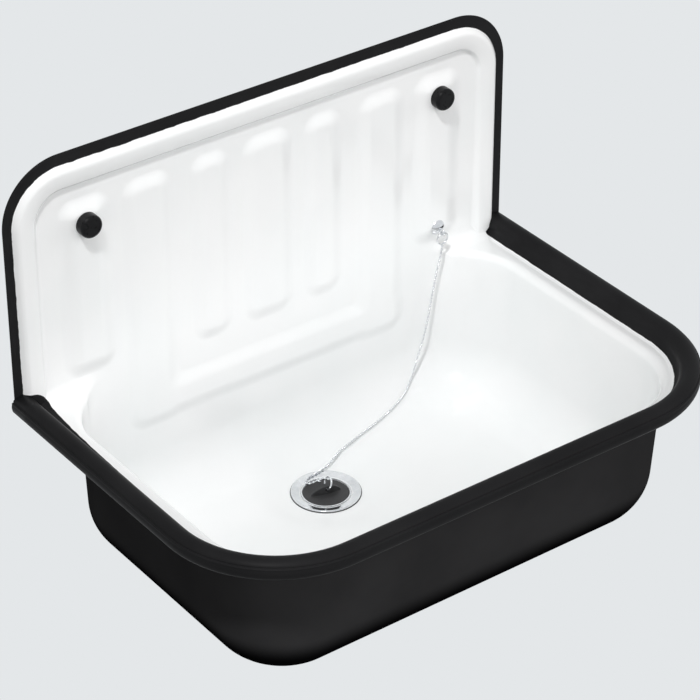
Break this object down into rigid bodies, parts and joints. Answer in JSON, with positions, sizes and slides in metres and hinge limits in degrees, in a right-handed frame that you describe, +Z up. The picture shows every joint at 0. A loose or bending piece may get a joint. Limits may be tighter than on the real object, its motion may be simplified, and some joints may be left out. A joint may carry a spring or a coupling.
{
  "type": "bucket sink",
  "caption": "Wall-hung enamelled bucket sink with a tall ribbed backsplash, a dark rolled rim, a chrome waste and a rubber plug on a ball chain.",
  "frame": {"origin": "midway between the two wall fixings, on the wall face", "axes": "+X runs along the wall to the side of the chain stay, +Y points into the wall, +Z is up"},
  "size_m": [0.5186, 0.3921, 0.4325],
  "materials": {
    "white_enamel": "glossy enamel",
    "black_enamel": "satin enamel",
    "chrome": "polished",
    "zinc": "satin",
    "brass": "turned",
    "cap_plastic": "satin",
    "pale_plastic": "moulded",
    "rubber": "moulded"
  },
  "bodies": {
    "root": {"backsplash": "white_enamel", "bowl": "white_enamel", "ledge": "white_enamel", "rolled_rim": "black_enamel", "wall_bushes": "pale_plastic", "wall_screws": "zinc", "screw_washers": "zinc", "stay_bolt": "chrome", "stay_washer": "rubber", "stay_nut": "zinc", "waste_body": "chrome", "top_seal": "rubber", "under_seal": "rubber", "flat_washer": "pale_plastic", "backnut": "brass", "ball_chain": "chrome"},
    "cap_left": {"screw_cap_left": "cap_plastic"},
    "cap_right": {"screw_cap_right": "cap_plastic"},
    "stay_ring": {"stay_ring": "chrome"},
    "plug": {"plug": "rubber", "chain_end": "chrome"},
    "plug_ring": {"plug_ring": "chrome", "chain_clasp": "chrome"}
  },
  "joints": [
    {"name": "cap_left_pull", "type": "slide", "parent": "root", "child": "cap_left", "axis": [0, -1, 0], "range_m": [0, 0.012]},
    {"name": "cap_right_pull", "type": "slide", "parent": "root", "child": "cap_right", "axis": [0, -1, 0], "range_m": [0, 0.012]},
    {"name": "stay_ring_swing", "type": "hinge", "parent": "root", "child": "stay_ring", "pos_m": [0.1812, -0.0137, -0.1346], "axis": [1, 0, 0], "range_deg": [-30, 15]},
    {"name": "plug_lift", "type": "slide", "parent": "root", "child": "plug", "axis": [0, 0, 1], "range_m": [0, 0.06]},
    {"name": "plug_ring_swing", "type": "hinge", "parent": "plug", "child": "plug_ring", "pos_m": [0, -0.084, -0.297], "axis": [0.2419, 0.9703, 0], "range_deg": [-60, 0]}
  ]
}
